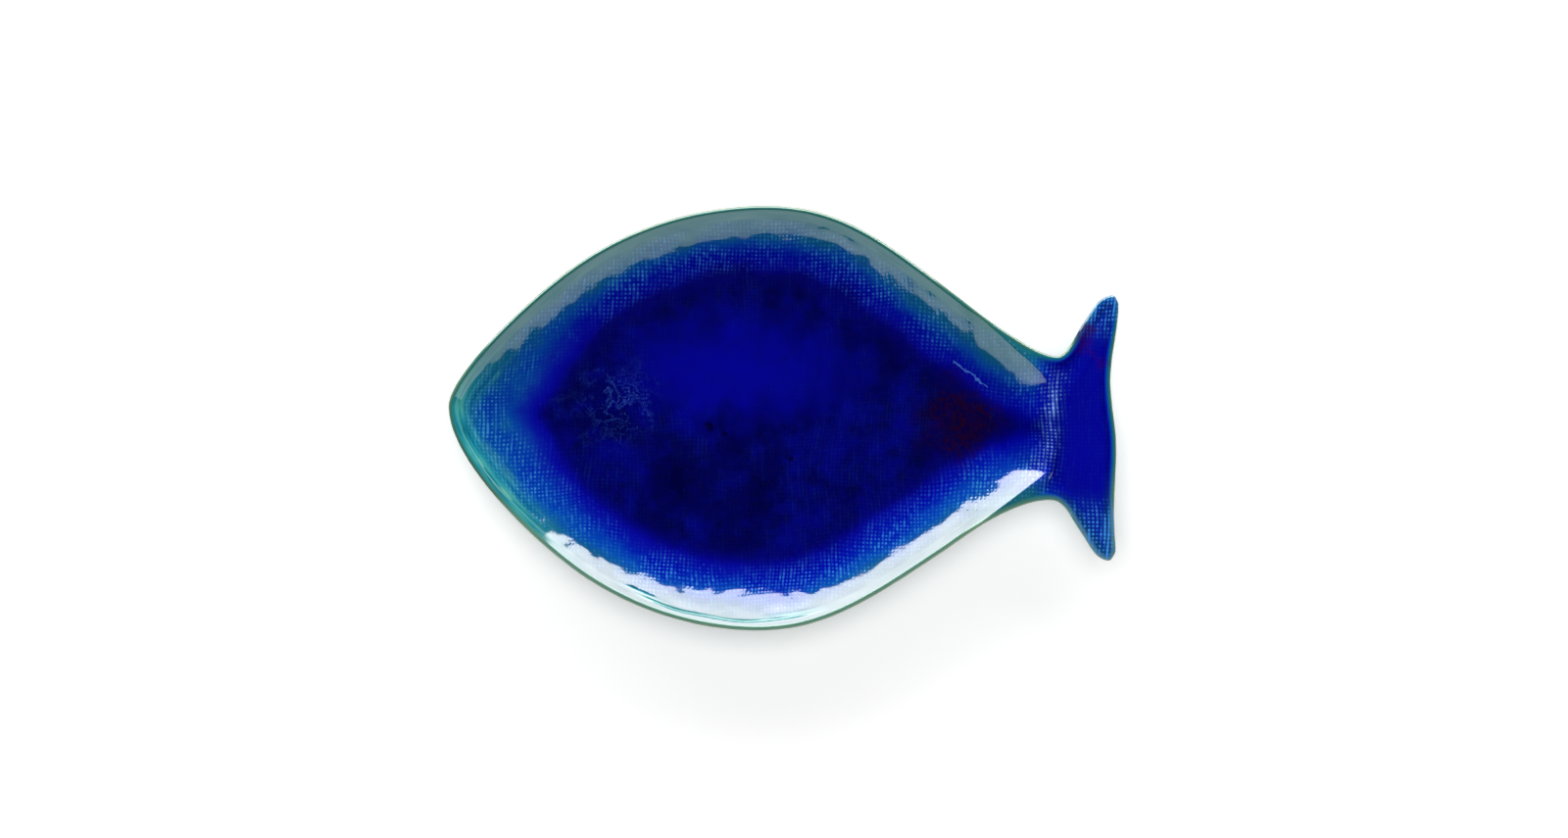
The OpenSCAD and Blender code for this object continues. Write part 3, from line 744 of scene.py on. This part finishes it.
def drifts(tree, at, bowl):
    """Cobalt in the bowl's middle, a flecked maroon flush by the neck, a violet patch on the tail and a pale
    bloom towards the nose. Each is an oval with a wandering edge."""
    cobalt_oval, flush_oval, violet_oval = (-30, 32, 114, 52), (110, -3, 36, 36), (193, 53, 15, 19)
    bloom_oval = (-110, 10, 42, 36)
    drift_size, drift, fleck, web_size = 20 * MM, 60 * MM, 2.6 * MM, 13 * MM
    fleck_span, web_span = (0.42, 0.62), (0, 0.022, 1, 0)
    adrift = strayed(tree, at["place"], drift_size, drift, 4.0)
    fine = add(tree, "TexNoise", {"Vector": at["place"], "Scale": 1 / fleck, "Detail": 3.0})["Fac"]
    flecks = add(tree, "MapRange", {"Value": fine}, span=fleck_span)[0]
    cobalt, flush, violet, bloom = (
        oval(tree, adrift, *middle_and_size)
        for middle_and_size in (cobalt_oval, flush_oval, violet_oval, bloom_oval)
    )
    flush = add(tree, "Math", {0: flush, 1: 0.9}, operation="MULTIPLY")[0]
    flecked = add(tree, "Math", {0: flush, 1: flecks}, operation="MULTIPLY")[0]
    violet = add(tree, "Math", {0: violet, 1: 0.8}, operation="MULTIPLY")[0]
    web = add(tree, "TexNoise", {"Vector": adrift, "Scale": 1 / web_size, "Detail": 5.0,
                                 "Roughness": 0.65})["Fac"]
    web = add(tree, "Math", {0: web, 1: 0.5}, operation="SUBTRACT")[0]
    web = add(tree, "Math", {0: web}, operation="ABSOLUTE")[0]
    web = add(tree, "MapRange", {"Value": web}, span=web_span)[0]
    for share in (web, 0.6):
        bloom = add(tree, "Math", {0: bloom, 1: share}, operation="MULTIPLY")[0]
    layers = [(cobalt, "000092"), (flush, "080034"), (flecked, "220216"), (violet, "300058"),
              (bloom, "2C50B8")]
    for share, code in layers:
        bowl = add(tree, "Mix", {0: share, 6: bowl, 7: linear(code)}, data_type="RGBA")[2]
    return bowl


def specks_and_painted_glint(tree, at, bowl):
    """Three cobalt specks, each given by its middle and half sizes in mm, and a pale line painted as the
    highlight of a thin glaze ridge.
    """
    specks = ((-47.5, -5.2, 4.4, 4.4), (-38, -10.2, 3.2, 3.2), (5.3, -25.9, 3.4, 3.4))
    fray_size, fray = 5 * MM, 6 * MM
    glint_line_start, glint_line_angle = (109 * MM, 37.5 * MM, 0), 0.672
    glint_line_half, glint_line_span = 14 * MM, (0.2 * MM, 0.7 * MM, 0.6, 0)
    frayed = strayed(tree, at["place"], fray_size, fray, 2.0)
    for speck in specks:
        share = oval(tree, frayed, *speck)
        bowl = add(tree, "Mix", {0: share, 6: bowl, 7: linear("00002C")}, data_type="RGBA")[2]
    # Painted highlight: a thin pale line where a glaze ridge would catch the light
    glint_line = add(tree, "VectorMath", {0: frayed, 1: glint_line_start}, operation="SUBTRACT")[0]
    glint_line = add(tree, "VectorRotate", {"Vector": glint_line, "Angle": glint_line_angle},
                  rotation_type="Z_AXIS")[0]
    glint_line = add(tree, "SeparateXYZ", {0: glint_line})
    beside = add(tree, "Math", {0: glint_line["Y"]}, operation="ABSOLUTE")[0]
    beside = add(tree, "MapRange", {"Value": beside}, span=glint_line_span)[0]
    within = add(tree, "Math", {0: glint_line["X"], 1: glint_line_half, 2: glint_line_half}, operation="COMPARE")[0]
    shows = add(tree, "Math", {0: beside, 1: within}, operation="MULTIPLY")[0]
    return add(tree, "Mix", {0: shows, 6: bowl, 7: linear("4C84D8")}, data_type="RGBA")[2]


def reactive_glaze():
    """Reactive stoneware glaze, cobalt over turquoise, poured and fired over a linen imprint. It breaks to
    olive where it thins over the lip, runs from turquoise to ultramarine down the wall, and floods the
    well."""
    bare_span, print_relief = (-0.02, 0.14, 1, 0), 0.022 * MM
    material, tree = new_material("reactive_glaze")
    at = noted(tree)
    shown = imprint_shown(tree, at)
    weave = add(tree, "Math", {0: linen(tree, at), 1: shown}, operation="MULTIPLY")[0]
    inwards = distance_inwards(tree, at)
    run = glaze_run(tree, at, inwards, weave, shown)
    # The wall's colour carries a painted highlight line under the nose's lip
    colour, inside = wall_tones(tree, at, run)
    # Painted shade under the belly's lip, and painted light on its edge
    colour = belly_painted_light_and_furrow(tree, at, colour, inside)
    # The flooded well and tail, with painted light and painted glints on the crest
    colour = flooded(tree, at, colour, inwards, weave)
    colour = drifts(tree, at, colour)
    # Cobalt specks, and a painted highlight line of a glaze ridge
    colour = specks_and_painted_glint(tree, at, colour)
    # Where the coat is thinnest, over the edge, the iron of the clay burns through
    bare = add(tree, "MapRange", {"Value": at["coat"]}, span=bare_span)[0]
    colour = add(tree, "Mix", {0: bare, 6: colour, 7: linear("7B7048")}, data_type="RGBA")[2]
    relief = add(tree, "Bump", {"Height": weave, "Strength": 1.0, "Distance": print_relief})[0]
    shader = add(tree, "BsdfPrincipled", {
        "Base Color": colour, "Normal": relief, "Roughness": 0.06, "IOR": 1.6,
    })[0]
    add(tree, "OutputMaterial", {"Surface": shader})
    return material


def stoneware():
    """Buff stoneware, pressed and fired: warm, dry and speckled with iron and grog."""
    cloud_size, grit, grit_relief, iron_span = 14 * MM, 1.1 * MM, 0.05 * MM, (0.62, 0.7)
    material, tree = new_material("stoneware")
    place = add(tree, "TexCoord")["Object"]
    cloud = add(tree, "TexNoise", {"Vector": place, "Scale": 1 / cloud_size, "Detail": 5.0})["Fac"]
    body = add(tree, "ValToRGB", {"Fac": cloud}, [(0.35, "9C8258"), (0.62, "B79B6E")])["Color"]
    grain = add(tree, "TexNoise", {"Vector": place, "Scale": 1 / grit, "Detail": 2.0})["Fac"]
    iron = add(tree, "MapRange", {"Value": grain}, span=iron_span)[0]
    speckled = add(tree, "Mix", {0: iron, 6: body, 7: linear("5A4326")}, data_type="RGBA")[2]
    relief = add(tree, "Bump", {"Height": grain, "Strength": 0.6, "Distance": grit_relief})[0]
    shader = add(tree, "BsdfPrincipled", {"Base Color": speckled, "Normal": relief, "Roughness": 0.75})[0]
    add(tree, "OutputMaterial", {"Surface": shader})
    return material


def underside_glaze():
    """The thinner dipped coat of the outside: sea green, with pinholes and a little clay showing through."""
    cloud_size, pinhole, coat_relief, pinhole_span = 35 * MM, 1.6 * MM, 0.15 * MM, (0.72, 0.76)
    sea_green = [(0.3, "1F6F7C"), (0.5, "3C8F90"), (0.7, "6FA894")]
    material, tree = new_material("underside_glaze")
    place = add(tree, "TexCoord")["Object"]
    cloud = add(tree, "TexNoise", {"Vector": place, "Scale": 1 / cloud_size, "Detail": 4.0})["Fac"]
    coat = add(tree, "ValToRGB", {"Fac": cloud}, sea_green)["Color"]
    pits = add(tree, "TexNoise", {"Vector": place, "Scale": 1 / pinhole, "Detail": 1.0})["Fac"]
    pinholes = add(tree, "MapRange", {"Value": pits}, span=pinhole_span)[0]
    pitted = add(tree, "Mix", {0: pinholes, 6: coat, 7: linear("6B5A3A")}, data_type="RGBA")[2]
    relief = add(tree, "Bump", {"Height": cloud, "Strength": 0.4, "Distance": coat_relief})[0]
    shader = add(tree, "BsdfPrincipled", {
        "Base Color": pitted, "Normal": relief, "Roughness": 0.16, "IOR": 1.6,
    })[0]
    add(tree, "OutputMaterial", {"Surface": shader})
    return material


# Making the platter

FOOT_ROUNDING = 0.8 * MM
COAT_ROUNDING = 0.3 * MM

body, rim, above = clay_body()
clay = stoneware()
dipped = underside_glaze()
finished(body, "pressed_stoneware_body", clay, "stoneware", "clay_body")
finished(upper_glaze(rim), "reactive_upper_glaze", reactive_glaze(), "turquoise_glaze",
         "turquoise_glaze", "cobalt_pool", "tail_pool")
finished(outer_glaze(rim, above), "outside_glaze", dipped, "underside_glaze", "outer_glaze")
finished(cad_softened("foot_ring", FOOT_ROUNDING), "wiped_foot_ring", clay, "bare_foot", "foot_ring")
finished(cad_softened("base_glaze", COAT_ROUNDING), "glaze_inside_foot", dipped, "underside_glaze",
         "base_glaze")

# Studio: sizes are in metres, and directions and elevations in degrees

FLOOR_HALF = 30
FLOOR_LIFT = 0.28
WORLD_GLOW = 0.005

# Boards: the sides that they stand on, their tops, the arches in these, and their glow low down and high up
BOARD_DISTANCE = 2
BOARD_FOOT = 0.5
GLOW_HEIGHTS = (0.5, 1.0)
WINDOW_SIDE, WINDOW_TOP, WINDOW_GLOW = (52, 142), 24, (14.0, 10.0)
WINDOW_ARCHES = [(91, 20, 12.5)]
LIT_WALL_SIDE, LIT_WALL_TOP, LIT_WALL_GLOW = (-142, -25), 27.5, (2.75, 1.65)
LIT_WALL_ARCHES = [(-80, 22, 3), (-116, 14, -4)]
FILL_TOP, FILL_GLOW = 27, (6.5, 6.5)

LAMP_SIZE, LAMP_HEIGHT, LAMP_POWER = 2.4, 2.2, 46

# The camera looks straight down, and takes in the photo's view width at the height of the rim
CAMERA_X, CAMERA_Y, CAMERA_HEIGHT = 0.0003, -0.0005, 3
SENSOR_WIDTH = 36
VIEW_WIDTH = 1.0059
VIEW_END = 50


def backdrop(name, shell, levels=None, colour="F4F4F4"):
    """A plain board of the studio. One with levels glows, as a window or a lit wall does, with the first
    level in its lower part and the second in its upper part. The floor, which has none, is lifted to white
    where it is seen or mirrored, and keeps its shadows."""
    material, tree = new_material(name)
    if levels:
        height = add(tree, "SeparateXYZ", {0: add(tree, "TexCoord")["Object"]})["Z"]
        level = add(tree, "MapRange", {"Value": height}, span=GLOW_HEIGHTS + levels)[0]
        surface = add(tree, "Emission", {"Color": linear(colour), "Strength": level})[0]
    else:
        matt = add(tree, "BsdfDiffuse", {"Color": linear(colour)})[0]
        ray = add(tree, "LightPath")
        seen = ray["Is Camera Ray"]
        for way in ("Is Glossy Ray", "Is Transmission Ray"):
            seen = add(tree, "Math", {0: seen, 1: ray[way]}, operation="MAXIMUM")[0]
        lift = add(tree, "Math", {0: seen, 1: FLOOR_LIFT}, operation="MULTIPLY")[0]
        lift = add(tree, "Emission", {"Color": linear("FFFFFF"), "Strength": lift})[0]
        surface = add(tree, "AddShader", {0: matt, 1: lift})[0]
    add(tree, "OutputMaterial", {"Surface": surface})
    mesh = bpy.data.meshes.new(name)
    shell.to_mesh(mesh)
    shell.free()
    mesh.materials.append(material)
    board = bpy.data.objects.new(name, mesh)
    bpy.context.scene.collection.objects.link(board)
    return board


def round_board(side, top, arches=()):
    """A strip on a circle round the platter, between two directions and up to an elevation. Its top rises or
    dips in arches, each with the direction of its middle, its half width and its rise."""
    start, end = (math.radians(direction) for direction in side)
    shell = bmesh.new()
    ends = [
        shell.verts.new((BOARD_DISTANCE * math.cos(start), BOARD_DISTANCE * math.sin(start),
                         BOARD_DISTANCE * math.tan(math.radians(elevation))))
        for elevation in (BOARD_FOOT, top)
    ]
    edge = shell.edges.new(ends)
    foot_height = ends[0].co.z
    bmesh.ops.spin(shell, geom=ends + [edge], cent=(0, 0, 0), axis=(0, 0, 1), angle=end - start, steps=32)
    for v in shell.verts:
        if v.co.z > 2 * foot_height:
            facing = math.degrees(math.atan2(v.co.y, v.co.x))
            rises = (rise * math.exp(-((facing - middle) / half) ** 2) for middle, half, rise in arches)
            v.co.z = BOARD_DISTANCE * math.tan(math.radians(top + sum(rises)))
    return shell


floor = bmesh.new()
bmesh.ops.create_grid(floor, x_segments=1, y_segments=1, size=FLOOR_HALF)
backdrop("studio_floor", floor)
window_board = round_board(WINDOW_SIDE, WINDOW_TOP, WINDOW_ARCHES)
wall_board = round_board(LIT_WALL_SIDE, LIT_WALL_TOP, LIT_WALL_ARCHES)
# These two are only mirrored in the glaze, and the third, in the window's place, lights it softly
window = backdrop("window_light", window_board, WINDOW_GLOW, "FFFFFF")
lit_wall = backdrop("lit_wall", wall_board, LIT_WALL_GLOW, "E8FFF4")
for mirrored in (window, lit_wall):
    mirrored.visible_diffuse = mirrored.visible_camera = mirrored.visible_shadow = False
fill = backdrop("window_fill", round_board(WINDOW_SIDE, FILL_TOP), FILL_GLOW, "FFFFFF")
fill.visible_glossy = fill.visible_camera = False

overhead_data = bpy.data.lights.new("overhead", "AREA")
overhead_data.size = LAMP_SIZE
overhead_data.energy = LAMP_POWER
overhead = bpy.data.objects.new("overhead", overhead_data)
overhead.location = (0, 0, LAMP_HEIGHT)
overhead.visible_glossy = overhead.visible_camera = False
bpy.context.scene.collection.objects.link(overhead)

world = bpy.data.worlds.new("studio")
bpy.context.scene.world = world
world.use_nodes = True
world.node_tree.nodes.clear()
dim = add(world.node_tree, "Background", {"Color": linear("FFFFFF"), "Strength": WORLD_GLOW})[0]
add(world.node_tree, "OutputWorld", {"Surface": dim})

camera_data = bpy.data.cameras.new("camera")
camera_data.sensor_width = SENSOR_WIDTH
camera_data.lens = SENSOR_WIDTH * CAMERA_HEIGHT / VIEW_WIDTH
camera_data.clip_end = VIEW_END
camera = bpy.data.objects.new("camera", camera_data)
camera.location = (CAMERA_X, CAMERA_Y, RIM_HEIGHT + CAMERA_HEIGHT)
bpy.context.scene.collection.objects.link(camera)
bpy.context.scene.camera = camera
bpy.context.scene.view_settings.view_transform = "Standard"
